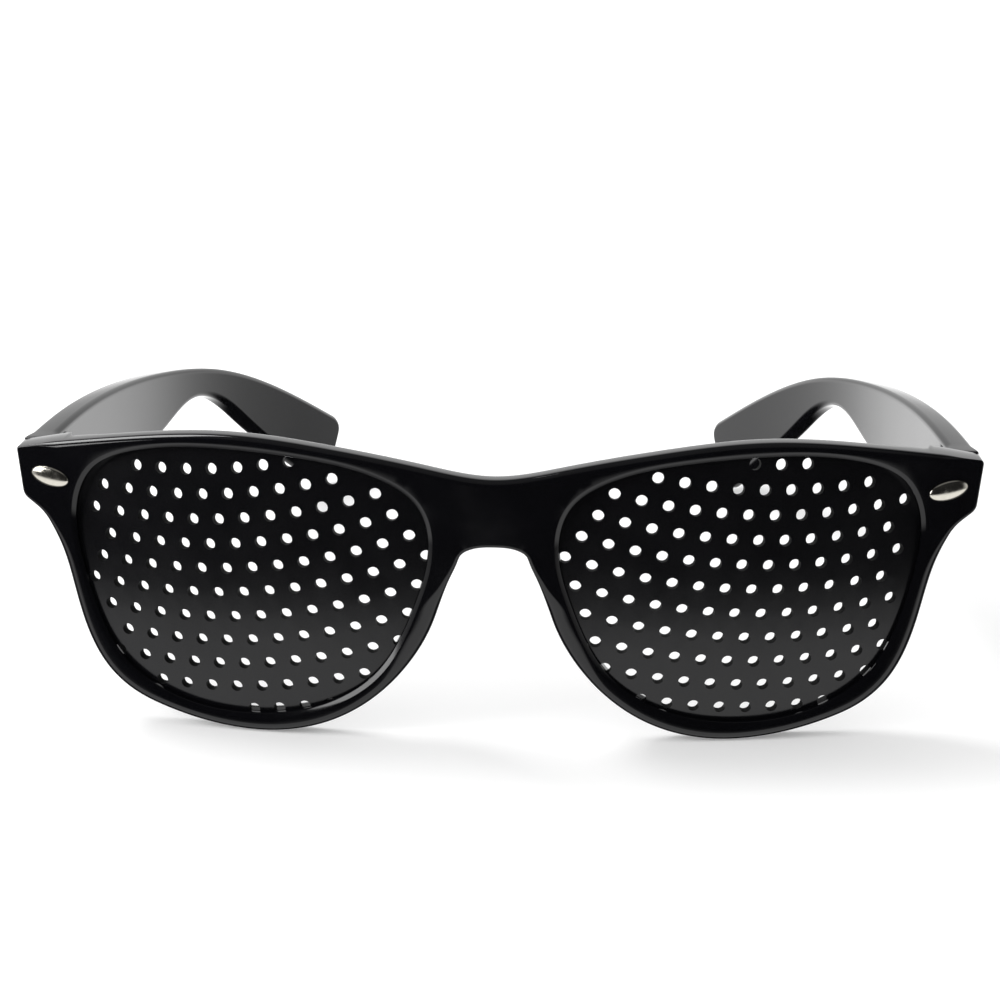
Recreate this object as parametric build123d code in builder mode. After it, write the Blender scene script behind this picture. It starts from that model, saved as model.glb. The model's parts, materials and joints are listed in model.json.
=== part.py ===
from build123d import *
import os
from math import asin, cos, degrees, radians, sin, sqrt

# Pinhole glasses: a moulded black front with two perforated plates, studs, metal barrel hinges and temples.
# Millimetres. X runs to the viewer's right, Y to the back and Z up. The glasses stand open, as on a table,
# on the bottoms of their rims and the tips of their temples. The origin is under the middle of their box.

# Front
front_width = 145.0
front_height = 46.1
front_thickness = 3.8
bow_radius = 260.0          # the front is bent about an upright axis

# Lens plates, which grow with the front
lens_width_share = 0.3724
lens_height_share = 0.8915
lens_x_share = 0.2517       # middle of the right lens, from the middle of the bridge
lens_z_share = 0.5087
lens_radius = 130.0         # each plate is part of a ball
lens_thickness = 2.0
tongue_thickness = 1.1      # the thinner edge that sits in the groove, level with the plate's front
tongue_inset = 0.1          # the thick part of the plate stays clear of the rim
lens_bulge = 1.6            # how far its middle stands forward of the middle of the rim
opening_bevel = 0.4
groove_depth = 1.15         # how far the groove goes in beyond the opening
lens_seat = 1.0             # how far the plate goes in
groove_clearance = 0.1      # on each face of the plate

# Pinholes
hole_diameter = 1.75
hole_sides = 8
hole_pitch = 3.96           # along a row
row_pitch = 3.76            # from row to row
row_stagger = 1.72          # each row starts this much further out
row_bow_radius = 103.0      # the rows sag like a chain
row_apex_step = 0.34        # the lowest point of each row lies this much nearer to the nose
# The first hole from the middle of the plate, outwards and up, and the turn of the whole pattern in degrees
right_pattern = (2.58, 7.94, -2.6)
left_pattern = (4.64, 9.74, -4.8)
# The first and the last hole of each row, counted outwards from that first hole, with the row's own number
right_rows = {-3: (1, 3), -2: (-3, 5), -1: (-5, 6), 0: (-6, 5), 1: (-7, 5), 2: (-8, 4),
              3: (-8, 4), 4: (-8, 3), 5: (-8, 3), 6: (-8, 2), 7: (-7, 0)}
left_rows = {-2: (-2, 4), -1: (-4, 5), 0: (-6, 5), 1: (-7, 4), 2: (-8, 4), 3: (-9, 4),
             4: (-9, 3), 5: (-9, 2), 6: (-9, 2), 7: (-8, 0), 8: (-7, -4)}

# End pieces and their studs, placed as shares of half the front's width and of its height
end_piece_inner_share = 0.891
end_piece_bottom_share = 0.7332
butt_depth = 14.6           # the flat that the temple closes against, behind the bridge front
block_start = 10.9
stud_x_share = 0.9262
hinge_z_share = 0.8243      # the studs sit level with the hinges
stud_length = 5.6
stud_height = 3.1
stud_tilt = 13.0
stud_proud = 0.55
stud_sunk = 0.3
stud_round = 0.5
stud_pin_radius = 0.5
stud_pin_spacing = 2.6
stud_pin_length = 1.6
stud_clearance = 0.03

# Nose pads, moulded in one with the rims: height of each section as a share, half width and half depth
pad_height_shares = (0.5857, 0.423, 0.2495)
pad_half_widths = (1.2, 2.0, 1.5)
pad_half_depths = (1.8, 3.6, 2.2)
pad_inset = 0.35            # a pad stays this far behind the outline of the bridge
pad_depths = (3.6, 5.4, 4.6)

# Temples
overall_depth = 150.0       # from the front of the bridge to the ends of the temples
temple_thickness = 4.2
temple_tip_thickness = 2.8
temple_edge_radius = 0.8
temple_tip_radius = 2.4
joint_gap = 0.06

# Barrel hinges
barrel_radius = 1.3
knuckle_height = 1.8
knuckle_gap = 0.06
hinge_gap = 0.06            # between a barrel and the plastic beside it
leaf_thickness = 0.8
leaf_length = 6.2
screw_radius = 0.55
screw_clearance = 0.05
screw_head_radius = 1.0
screw_head_height = 0.6
slot_width = 0.3
slot_depth = 0.3
tang_length = 2.6
tang_width = 1.5
tang_height = 3.0
leaf_screw_radius = 0.45
leaf_screw_head = 0.9
leaf_screw_length = 2.6
leaf_screw_spacing = 2.6
leaf_screw_y = 3.9          # from the hinge pin
pocket_clearance = 0.1
fixed_clearance = 0.03      # round a screw or a tang that doesn't move

# One overrun serves every cut
overrun = 1.0

# Outlines, as shares of half the front's width and of its height, seen from the front
brow_shares = [(0, 0.881), (0.138, 0.913), (0.345, 0.970), (0.55, 0.9995), (0.78, 0.970),
               (1.0, 0.915)]
end_piece_shares = [(1.0, 0.915), (0.988, 0.752), (0.944, 0.700)]
cheek_shares = [(0.944, 0.700), (0.915, 0.607), (0.877, 0.390), (0.814, 0.174), (0.759, 0.102),
                (0.697, 0.059), (0.49, 0)]
nose_shares = [(0.49, 0), (0.317, 0.063), (0.194, 0.217), (0.126, 0.390), (0.090, 0.550), (0.071, 0.620)]
arch_shares = [(0.071, 0.620), (0.045, 0.652), (0, 0.660)]

# The opening, as shares of half the lens width and height, from the lens middle
lens_shares = [
    (0.996, 0.416), (0.893, 0.786), (0.637, 0.946), (0.167, 1.0), (-0.296, 0.956), (-0.707, 0.835),
    (-0.937, 0.625), (-0.996, 0.328), (-0.922, -0.095), (-0.690, -0.655), (-0.378, -0.912),
    (0.037, -1.0), (0.426, -0.917), (0.741, -0.645), (0.893, -0.265), (0.972, 0.124),
]

# The temple from above: distance behind the bridge as a share of the depth, and of half the front's width
temple_plan_shares = [(0.097, 0.997), (0.30, 0.954), (0.52, 0.880), (0.733, 0.756), (1.0, 0.565)]
# The temple from the side: distance behind the bridge, and height as a share of the front's
temple_top_shares = [(0.097, 0.920), (0.20, 0.928), (0.36, 0.900), (0.52, 0.834), (0.66, 0.742),
                     (0.79, 0.594), (0.985, 0.290)]
temple_low_shares = [(0.955, 0), (0.73, 0.465), (0.645, 0.632), (0.575, 0.675), (0.50, 0.630),
                     (0.43, 0.600), (0.27, 0.640), (0.097, 0.735)]

half_width = front_width / 2
front_y = -overall_depth / 2
lens_width = front_width * lens_width_share
lens_height = front_height * lens_height_share
lens_x = front_width * lens_x_share
lens_z = front_height * lens_z_share
end_piece_inner_x = half_width * end_piece_inner_share
end_piece_bottom = front_height * end_piece_bottom_share
stud_x = half_width * stud_x_share
hinge_z = front_height * hinge_z_share
face_plane = Plane(origin=(0, front_y, 0), x_dir=(1, 0, 0), z_dir=(0, -1, 0))
plan_plane = Plane(origin=(0, front_y, 0), x_dir=(1, 0, 0), z_dir=(0, 0, 1))
side_plane = Plane(origin=(0, front_y, 0), x_dir=(0, 1, 0), z_dir=(1, 0, 0))


def bow_depth(x):
    """How far the front's face lies behind the middle of the bridge."""
    return bow_radius - sqrt(bow_radius**2 - x**2)


def on_front(shares):
    return [(half_width * x, front_height * z) for x, z in shares]


def on_lens(side, outset):
    """The outline of the opening, grown all round by the outset."""
    half_x = lens_width / 2 + outset
    half_z = lens_height / 2 + outset
    return [(side * (lens_x + half_x * x), lens_z + half_z * z) for x, z in lens_shares]


# The ball of each lens: the middle of the plate faces along the front's own normal
lens_turn = asin(lens_x / bow_radius)
vertex_back = front_thickness / 2 - lens_bulge
vertex_x = lens_x - vertex_back * sin(lens_turn)
vertex_y = front_y + bow_depth(lens_x) + vertex_back * cos(lens_turn)
ball_x = vertex_x - lens_radius * sin(lens_turn)
ball_y = vertex_y + lens_radius * cos(lens_turn)
lens_reach = bow_depth(half_width) + 2 * front_thickness


def ball_plane(side):
    """A plane through the middle of the ball that looks along the lens."""
    outward = (side * sin(lens_turn), -cos(lens_turn), 0)
    return Plane(origin=(side * ball_x, ball_y, lens_z), x_dir=(cos(lens_turn), side * sin(lens_turn), 0),
                 z_dir=outward)


def lens_blank(side, outset, ahead, behind):
    """A plate of the lens ball, as large as the opening and the outset, ahead of and behind the ball."""
    with BuildPart() as blank:
        with Locations((side * ball_x, ball_y, lens_z)):
            Sphere(lens_radius + ahead)
            Sphere(lens_radius - behind, mode=Mode.SUBTRACT)
        with BuildSketch(face_plane.offset(overrun)):
            with BuildLine():
                Spline(*on_lens(side, outset), periodic=True)
            make_face()
        extrude(amount=-lens_reach, mode=Mode.INTERSECT)
    return blank.part


def pinhole_planes(side, pattern, rows):
    """The planes that the pinholes are punched from, square to the ball."""
    start_u, start_v, turn = pattern
    ball = ball_plane(side)
    planes = []
    for row, (first, last) in rows.items():
        for place in range(first, last + 1):
            along = hole_pitch * place + row_stagger * row
            across = (along + row_apex_step * row) ** 2 / (2 * row_bow_radius) - row_pitch * row
            u = start_u + along * cos(radians(turn)) - across * sin(radians(turn))
            v = start_v + along * sin(radians(turn)) + across * cos(radians(turn))
            spot = Vector(side * u, v, sqrt(lens_radius**2 - u**2 - v**2))
            outward = ball.from_local_coords(spot) - ball.origin
            start = ball.origin + outward + outward.normalized() * lens_thickness
            planes.append(Plane(origin=start, x_dir=(0, 0, 1), z_dir=outward))
    return planes


tongue_half = tongue_thickness / 2
lens_parts = {}
lens_sides = {"lens_right": (1, right_pattern, right_rows), "lens_left": (-1, left_pattern, left_rows)}
for name, (side, pattern, rows) in lens_sides.items():
    planes = pinhole_planes(side, pattern, rows)
    with BuildPart() as lens:
        add(lens_blank(side, lens_seat, tongue_half, tongue_half))
        add(lens_blank(side, -tongue_inset, 0, lens_thickness - tongue_half))
        with BuildSketch(*planes):
            RegularPolygon(hole_diameter / 2, hole_sides)
        extrude(amount=-2 * lens_thickness, mode=Mode.SUBTRACT)
    lens_parts[name] = lens.part
    print(name, "pinholes", len(planes))

groove_half = tongue_half + groove_clearance
grooves = [lens_blank(side, groove_depth, groove_half, groove_half) for side in (1, -1)]

# The studs sit square on the bowed face
stud_turn = degrees(asin(stud_x / bow_radius))


def stud_plane(side):
    turn = radians(stud_turn)
    tilt = radians(stud_tilt)
    outward = Vector(side * sin(turn), -cos(turn), 0)
    level = Vector(cos(turn), side * sin(turn), 0)
    along = level * cos(tilt) + Vector(0, 0, side * sin(tilt))
    return Plane(origin=(side * stud_x, front_y + bow_depth(stud_x), hinge_z), x_dir=along, z_dir=outward)


# Hinge places on the right side, behind the bridge front
temple_outer_x = half_width * temple_plan_shares[0][1]
inner_face_x = temple_outer_x - temple_thickness
pin_x = inner_face_x - barrel_radius - hinge_gap
pin_depth = butt_depth + barrel_radius + hinge_gap
barrel_height = 3 * knuckle_height
barrel_bottom = hinge_z - barrel_height / 2
barrel_top = hinge_z + barrel_height / 2

with BuildPart() as front_frame:
    # A bent sheet, cut to the outline
    with BuildSketch(plan_plane):
        with Locations((0, bow_radius)):
            Circle(bow_radius)
            Circle(bow_radius - front_thickness, mode=Mode.SUBTRACT)
    extrude(amount=front_height + overrun)
    with BuildSketch(face_plane.offset(overrun)):
        with BuildLine():
            Spline(*on_front(brow_shares), tangents=((1, 0), (1, -0.18)))
            Polyline(*on_front(end_piece_shares))
            Spline(*on_front(cheek_shares), tangents=((-0.55, -1), (-1, 0)))
            Spline(*on_front(nose_shares), tangents=((-1, 0), (-0.3, 1)))
            Spline(*on_front(arch_shares), tangents=((-0.3, 1), (-1, 0)))
            mirror(about=Plane.YZ)
        make_face()
    extrude(amount=-lens_reach - overrun, mode=Mode.INTERSECT)

    # The hinge blocks behind the end pieces
    with BuildSketch(face_plane.offset(-block_start)):
        with BuildLine():
            corner_x, corner_z = on_front(end_piece_shares)[0]
            low_x, low_z = on_front(end_piece_shares)[1]
            Polyline((end_piece_inner_x, end_piece_bottom), (end_piece_inner_x, corner_z),
                     (temple_outer_x, corner_z), (low_x, low_z), (low_x - temple_thickness, end_piece_bottom),
                     close=True)
        make_face()
        mirror(about=Plane.YZ)
    extrude(amount=block_start - butt_depth)

    # The nose pads
    for side in (1, -1):
        for share, half_x, half_y, depth in zip(pad_height_shares, pad_half_widths, pad_half_depths,
                                                pad_depths):
            lower, upper = [pair for pair in zip(nose_shares, nose_shares[1:]) if pair[0][1] <= share][-1]
            edge = lower[0] + (upper[0] - lower[0]) * (share - lower[1]) / (upper[1] - lower[1])
            with BuildSketch(plan_plane.offset(front_height * share)):
                with Locations((side * (half_width * edge + pad_inset + half_x), depth)):
                    Ellipse(half_x, half_y)
        loft()

    # The openings and the grooves that hold the plates
    with BuildSketch(face_plane.offset(overrun)):
        for side in (1, -1):
            with BuildLine():
                Spline(*on_lens(side, 0), periodic=True)
            make_face()
    extrude(amount=-lens_reach - overrun, mode=Mode.SUBTRACT)
    rounds = [edge for edge in front_frame.edges() if edge.is_closed and edge.length > 2 * lens_width]
    chamfer(sorted(rounds, key=lambda edge: edge.center().Y)[:2], opening_bevel)
    for groove in grooves:
        add(groove, mode=Mode.SUBTRACT)

    # Seats for the studs
    for side in (1, -1):
        with BuildSketch(stud_plane(side)):
            Ellipse(stud_length / 2 + stud_clearance, stud_height / 2 + stud_clearance)
        extrude(amount=stud_sunk, both=True, mode=Mode.SUBTRACT)
        with BuildSketch(stud_plane(side)):
            with GridLocations(stud_pin_spacing, 0, 2, 1):
                Circle(stud_pin_radius + stud_clearance)
        extrude(amount=-stud_sunk - stud_pin_length - stud_clearance, mode=Mode.SUBTRACT)

    # Seats for the hinge tangs
    with BuildSketch(face_plane.offset(-butt_depth)):
        with Locations((pin_x, hinge_z), (-pin_x, hinge_z)):
            Rectangle(2 * barrel_radius + 2 * fixed_clearance, barrel_height + 2 * fixed_clearance)
    extrude(amount=leaf_thickness, mode=Mode.SUBTRACT)
    with BuildSketch(face_plane.offset(-butt_depth)):
        with Locations((pin_x, hinge_z), (-pin_x, hinge_z)):
            Rectangle(tang_width + 2 * fixed_clearance, tang_height + 2 * fixed_clearance)
    extrude(amount=leaf_thickness + tang_length + fixed_clearance, mode=Mode.SUBTRACT)

with BuildPart() as stud_right:
    with BuildSketch(stud_plane(1).offset(-stud_sunk)):
        Ellipse(stud_length / 2, stud_height / 2)
    extrude(amount=stud_sunk + stud_proud)
    fillet(stud_right.edges().sort_by(Axis(origin=stud_plane(1).origin, direction=stud_plane(1).z_dir))[-1],
           stud_round)
    with BuildSketch(stud_plane(1).offset(-stud_sunk)):
        with GridLocations(stud_pin_spacing, 0, 2, 1):
            Circle(stud_pin_radius)
    extrude(amount=-stud_pin_length)

with BuildPart() as front_leaf_right:
    # A foot sunk in the block, a tang behind it and two knuckles
    with BuildSketch(face_plane.offset(-butt_depth)):
        with Locations((pin_x, hinge_z)):
            Rectangle(2 * barrel_radius, barrel_height)
    extrude(amount=leaf_thickness)
    with BuildSketch(face_plane.offset(-butt_depth)):
        with Locations((pin_x, hinge_z)):
            Rectangle(tang_width, tang_height)
    extrude(amount=leaf_thickness + tang_length)
    with BuildSketch(plan_plane.offset(barrel_bottom)):
        with Locations((pin_x, pin_depth)):
            Circle(barrel_radius)
        with Locations((pin_x, (butt_depth + pin_depth) / 2)):
            Rectangle(2 * barrel_radius, pin_depth - butt_depth)
    extrude(amount=barrel_height)
    with BuildSketch(plan_plane.offset(hinge_z - knuckle_height / 2)):
        with Locations((pin_x, pin_depth)):
            Circle(barrel_radius + hinge_gap)
    extrude(amount=knuckle_height, mode=Mode.SUBTRACT)
    with BuildSketch(plan_plane.offset(barrel_bottom - overrun)):
        with Locations((pin_x, pin_depth)):
            Circle(screw_radius + fixed_clearance)
    extrude(amount=barrel_height + 2 * overrun, mode=Mode.SUBTRACT)

with BuildPart() as leaf_blank:
    # A plate in a pocket of the temple, and the middle knuckle
    with BuildSketch(plan_plane.offset(barrel_bottom)):
        with Locations((inner_face_x - leaf_thickness / 2, pin_depth + leaf_length / 2)):
            Rectangle(leaf_thickness, leaf_length)
    extrude(amount=barrel_height)
    with BuildSketch(plan_plane.offset(barrel_bottom)):
        with Locations((pin_x, pin_depth)):
            Circle(barrel_radius + hinge_gap + fixed_clearance)
    extrude(amount=barrel_height, mode=Mode.SUBTRACT)
    with BuildSketch(plan_plane.offset(hinge_z - knuckle_height / 2 + knuckle_gap)):
        with Locations((pin_x, pin_depth)):
            Circle(barrel_radius)
        with Locations((inner_face_x - leaf_thickness / 2, pin_depth + barrel_radius)):
            Rectangle(leaf_thickness, 2 * barrel_radius)
    extrude(amount=knuckle_height - 2 * knuckle_gap)
    with BuildSketch(plan_plane.offset(barrel_bottom - overrun)):
        with Locations((pin_x, pin_depth)):
            Circle(screw_radius + screw_clearance)
    extrude(amount=barrel_height + 2 * overrun, mode=Mode.SUBTRACT)

# The screws through the leaf, on the leaf's own plane
leaf_plane = Plane(origin=(inner_face_x - leaf_thickness, front_y + pin_depth + leaf_screw_y, hinge_z),
                   x_dir=(0, 0, 1), z_dir=(-1, 0, 0))

with BuildPart() as temple_leaf_screws_right:
    for spot in (-leaf_screw_spacing / 2, leaf_screw_spacing / 2):
        with BuildSketch(leaf_plane):
            with Locations((spot, 0)):
                Circle(leaf_screw_head)
        with BuildSketch(leaf_plane.offset(leaf_screw_radius - leaf_screw_head)):
            with Locations((spot, 0)):
                Circle(leaf_screw_radius)
        loft()
        with BuildSketch(leaf_plane.offset(leaf_screw_radius - leaf_screw_head)):
            with Locations((spot, 0)):
                Circle(leaf_screw_radius)
        extrude(amount=-leaf_screw_length)
        with BuildSketch(leaf_plane):
            with Locations((spot, 0)):
                Rectangle(2 * leaf_screw_head, slot_width)
        extrude(amount=-slot_depth, mode=Mode.SUBTRACT)


def screw_seats(extra):
    """The room that the two leaf screws take, with their clearance."""
    with BuildPart() as seats:
        for spot in (-leaf_screw_spacing / 2, leaf_screw_spacing / 2):
            with BuildSketch(leaf_plane.offset(extra)):
                with Locations((spot, 0)):
                    Circle(leaf_screw_head + extra + extra)
            with BuildSketch(leaf_plane.offset(leaf_screw_radius - leaf_screw_head)):
                with Locations((spot, 0)):
                    Circle(leaf_screw_radius + extra)
            loft()
            with BuildSketch(leaf_plane.offset(leaf_screw_radius - leaf_screw_head)):
                with Locations((spot, 0)):
                    Circle(leaf_screw_radius + extra)
            extrude(amount=-leaf_screw_length - extra)
    return seats.part


seats_right = screw_seats(fixed_clearance)

with BuildPart() as temple_leaf_right:
    add(leaf_blank.part)
    add(seats_right, mode=Mode.SUBTRACT)

with BuildPart() as hinge_screw_right:
    with BuildSketch(plan_plane.offset(barrel_bottom)):
        with Locations((pin_x, pin_depth)):
            Circle(screw_radius)
    extrude(amount=barrel_height + fixed_clearance)
    with BuildSketch(plan_plane.offset(barrel_top + fixed_clearance)):
        with Locations((pin_x, pin_depth)):
            Circle(screw_head_radius)
    extrude(amount=screw_head_height)
    with BuildSketch(plan_plane.offset(barrel_top + fixed_clearance + screw_head_height)):
        with Locations((pin_x, pin_depth)):
            Rectangle(slot_width, 2 * screw_head_radius)
    extrude(amount=-slot_depth, mode=Mode.SUBTRACT)

with BuildPart() as temple_right:
    # The curve from above, as thick as the temple and thinner at its tip
    outer = [(half_width * x, overall_depth * y) for y, x in temple_plan_shares]
    inner = []
    for x, y in outer:
        run = (y - outer[0][1]) / (outer[-1][1] - outer[0][1])
        inner.append((x - temple_thickness + (temple_thickness - temple_tip_thickness) * run, y))
    with BuildSketch(plan_plane):
        with BuildLine():
            Spline(*outer)
            Line(outer[-1], inner[-1])
            Spline(*reversed(inner))
            Line(inner[0], outer[0])
        make_face()
    extrude(amount=front_height)
    # The shape from the side, with its ear bend and its broad tip
    top = [(overall_depth * y, front_height * z) for y, z in temple_top_shares]
    low = [(overall_depth * y, front_height * z) for y, z in temple_low_shares]
    with BuildSketch(side_plane):
        with BuildLine():
            Spline(*top)
            Line(top[-1], (overall_depth, top[-1][1] - temple_tip_radius))
            Line((overall_depth, top[-1][1] - temple_tip_radius), low[0])
            Spline(*low)
            Line(low[-1], top[0])
        make_face()
    extrude(amount=front_width, mode=Mode.INTERSECT)
    fillet([edge for edge in temple_right.edges() if edge.length > overall_depth / 2], temple_edge_radius)
    # Clear of the hinge block, with a pocket for the leaf
    with BuildSketch(face_plane.offset(-butt_depth - joint_gap)):
        Rectangle(2 * front_width, 2 * front_width)
    extrude(amount=overall_depth, mode=Mode.SUBTRACT)
    pocket_back = pin_depth + leaf_length + pocket_clearance
    pocket_front = butt_depth - overrun
    pocket_top = barrel_top + screw_head_height + 3 * pocket_clearance
    pocket_bottom = barrel_bottom - pocket_clearance
    with BuildSketch(plan_plane.offset(pocket_bottom)):
        with Locations((inner_face_x - temple_thickness / 2, (pocket_back + pocket_front) / 2)):
            Rectangle(temple_thickness, pocket_back - pocket_front)
    extrude(amount=pocket_top - pocket_bottom, mode=Mode.SUBTRACT)
    add(seats_right, mode=Mode.SUBTRACT)

right_parts = {
    "stud_right": stud_right.part,
    "front_leaf_right": front_leaf_right.part,
    "temple_leaf_right": temple_leaf_right.part,
    "temple_leaf_screws_right": temple_leaf_screws_right.part,
    "hinge_screw_right": hinge_screw_right.part,
    "temple_right": temple_right.part,
}

pieces = {"front_frame": front_frame.part, **lens_parts}
for name, part in right_parts.items():
    pieces[name] = part
    with BuildPart() as left_piece:
        mirror(part, about=Plane.YZ)
    pieces[name.replace("right", "left")] = left_piece.part

os.makedirs("parts", exist_ok=True)
for name, part in pieces.items():
    part.label = name
    export_step(part, f"parts/{name}.step")
    box = part.bounding_box()
    print(name, "solids", len(part.solids()), "box", box.min, box.max)
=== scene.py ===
# %% [markdown]
# # Pinhole glasses
# A pair of glasses with perforated black plates in place of lenses, standing open on a white
# table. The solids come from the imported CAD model. This lesson builds the looks around them:
# rounded mouldings, round pinholes, polished studs, and the light that makes black plastic read.

import json
from math import asin, ceil, cos, pi, radians, sin, sqrt

import bmesh
import bpy
import numpy as np
from mathutils import Matrix, Vector
from mathutils.geometry import delaunay_2d_cdt

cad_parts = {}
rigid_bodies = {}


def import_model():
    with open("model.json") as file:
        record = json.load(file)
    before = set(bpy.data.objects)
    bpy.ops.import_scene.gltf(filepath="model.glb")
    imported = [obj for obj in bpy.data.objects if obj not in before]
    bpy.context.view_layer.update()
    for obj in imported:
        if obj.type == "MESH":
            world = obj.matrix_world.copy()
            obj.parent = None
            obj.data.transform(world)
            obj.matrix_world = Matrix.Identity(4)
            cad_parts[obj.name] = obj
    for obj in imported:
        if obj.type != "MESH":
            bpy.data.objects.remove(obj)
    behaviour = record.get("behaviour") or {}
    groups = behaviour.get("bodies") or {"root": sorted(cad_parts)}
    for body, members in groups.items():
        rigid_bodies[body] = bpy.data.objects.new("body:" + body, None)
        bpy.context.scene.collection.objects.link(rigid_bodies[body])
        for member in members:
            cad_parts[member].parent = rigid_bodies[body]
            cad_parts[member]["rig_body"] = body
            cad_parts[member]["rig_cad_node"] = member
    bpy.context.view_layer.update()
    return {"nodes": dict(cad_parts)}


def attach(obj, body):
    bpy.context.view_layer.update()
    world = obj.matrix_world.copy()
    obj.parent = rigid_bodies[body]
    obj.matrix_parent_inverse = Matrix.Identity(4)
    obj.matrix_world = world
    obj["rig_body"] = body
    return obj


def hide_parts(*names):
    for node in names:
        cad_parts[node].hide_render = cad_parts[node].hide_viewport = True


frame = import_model()
print("nodes", sorted(frame["nodes"]))

# %% [markdown]
# ## The sizes
# The solids were drawn in millimetres from a few named sizes, and outlines given as shares of
# them. The same sizes are repeated here, so that each finer piece lies where its solid lies.
# Two are the scene's own: its plates are thinner, so that the pinholes look as open as in the
# photograph, and its studs are a little longer and stand prouder.

# %% Sizes in millimetres
front_width, front_height, front_thickness = 145.0, 46.1, 3.8
half_width = front_width / 2
bow_radius = 260.0
overall_depth = 150.0
front_y = -overall_depth / 2
lens_width, lens_height, lens_x, lens_z = 54.0, 41.1, 36.5, 23.45
lens_radius, lens_bulge, lens_seat = 130.0, 1.6, 1.0
lens_thickness, tongue_thickness, tongue_inset, groove_clearance = 1.3, 1.1, 0.1, 0.1
hole_diameter, hole_pitch, row_pitch, row_stagger = 1.75, 3.96, 3.76, 1.72
row_bow_radius, row_apex_step = 103.0, 0.34
butt_depth = 14.6           # the back of a hinge block, behind the bridge
joint_gap = 0.06            # between a block and its temple
temple_thickness, temple_tip_thickness = 4.2, 2.8
leaf_length, leaf_from_pin, pocket_clearance = 6.2, 1.36, 0.1
stud_x, stud_z, stud_length, stud_height, stud_tilt = 67.15, 38.0, 6.1, 2.95, 11.0
stud_sunk, stud_rim, stud_dome = 0.3, 0.16, 0.6

brow_shares = [(0, 0.881), (0.138, 0.913), (0.345, 0.970), (0.55, 0.9995), (0.78, 0.970),
               (1.0, 0.915)]
end_piece_shares = [(1.0, 0.915), (0.988, 0.752), (0.944, 0.700)]
cheek_shares = [(0.944, 0.700), (0.915, 0.607), (0.877, 0.390), (0.814, 0.174), (0.759, 0.102),
                (0.697, 0.059), (0.49, 0)]
nose_shares = [(0.49, 0), (0.317, 0.063), (0.194, 0.217), (0.126, 0.390), (0.090, 0.550),
               (0.071, 0.620)]
arch_shares = [(0.071, 0.620), (0.045, 0.652), (0, 0.660)]
lens_shares = [
    (0.996, 0.416), (0.893, 0.786), (0.637, 0.946), (0.167, 1.0), (-0.296, 0.956), (-0.707, 0.835),
    (-0.937, 0.625), (-0.996, 0.328), (-0.922, -0.095), (-0.690, -0.655), (-0.378, -0.912),
    (0.037, -1.0), (0.426, -0.917), (0.741, -0.645), (0.893, -0.265), (0.972, 0.124),
]
temple_plan_shares = [(0.097, 0.997), (0.30, 0.954), (0.52, 0.880), (0.733, 0.756), (1.0, 0.565)]
temple_top_shares = [(0.097, 0.920), (0.20, 0.928), (0.36, 0.900), (0.52, 0.834), (0.66, 0.742),
                     (0.79, 0.594), (0.985, 0.290)]
temple_low_shares = [(0.955, 0), (0.73, 0.465), (0.645, 0.632), (0.575, 0.675), (0.50, 0.630),
                     (0.43, 0.600), (0.27, 0.640), (0.097, 0.735)]
print("front", front_width, "by", front_height, "mm")

# %% [markdown]
# ## The camera
# The photograph was taken from a little right of the middle, looking down at about 16 degrees,
# with a long lens. The place and the three turns below were worked out from the outline of the
# front, which is close to symmetric, so they put the model where the photograph has it.

# %% Camera
camera_place = (0.01563, -0.425, 0.13715)
turned_left, looking_down, tipped = 2.4, -15.82, -0.27

camera_data = bpy.data.cameras.new("camera")
camera_data.sensor_width = 36.0
camera_data.lens = 89.78
camera_data.clip_start = 0.01
camera = bpy.data.objects.new("camera", camera_data)
bpy.context.scene.collection.objects.link(camera)
turn = (Matrix.Rotation(radians(turned_left), 4, "Z")
        @ Matrix.Rotation(radians(looking_down), 4, "X")
        @ Matrix.Rotation(radians(tipped), 4, "Y")
        @ Matrix.Rotation(radians(90), 4, "X"))
camera.matrix_world = Matrix.Translation(camera_place) @ turn
bpy.context.scene.camera = camera
print("camera at", [round(v, 4) for v in camera.location])

# %% [markdown]
# ## Colours and nodes
# Colours are written as sRGB hex, as a paint chip or a photo editor gives them. The shader
# wants linear light, so one function turns them. A second small function adds a node, sets
# its values and joins its inputs, which keeps each material short enough to read.

# %% Helpers for materials
def linear(hex_code):
    """An sRGB hex colour as linear light, with full alpha."""
    shares = [int(hex_code[i:i + 2], 16) / 255 for i in (1, 3, 5)]
    return [c / 12.92 if c <= 0.04045 else ((c + 0.055) / 1.055) ** 2.4 for c in shares] + [1.0]


def node(tree, kind, links=(), settings=(), values=()):
    """Adds a node. links: input -> output socket. settings: its properties. values: its inputs."""
    made = tree.nodes.new(kind)
    for name, value in dict(settings).items():
        setattr(made, name, value)
    for name, value in dict(values).items():
        made.inputs[name].default_value = value
    for name, socket in dict(links).items():
        tree.links.new(socket, made.inputs[name])
    return made


def maths(tree, operation, first, second=0.0):
    """One step of a sum, with sockets or plain numbers."""
    given = dict(enumerate((first, second)))
    numbers = {i: g for i, g in given.items() if isinstance(g, (int, float))}
    sockets = {i: g for i, g in given.items() if i not in numbers}
    return node(tree, "ShaderNodeMath", sockets, {"operation": operation}, numbers).outputs[0]


def new_material(name):
    """An empty node material with its shader and its output."""
    made = bpy.data.materials.new(name)
    made.use_nodes = True
    tree = made.node_tree
    tree.nodes.clear()
    shader = node(tree, "ShaderNodeBsdfPrincipled")
    node(tree, "ShaderNodeOutputMaterial", {"Surface": shader.outputs["BSDF"]})
    return made, tree, shader


def noise(tree, place, scale, detail, roughness=0.5):
    """Noise whose cells are 1 / scale metres wide, because object coordinates are metres."""
    return node(tree, "ShaderNodeTexNoise", {"Vector": place},
                values={"Scale": scale, "Detail": detail, "Roughness": roughness}).outputs["Fac"]


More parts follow.
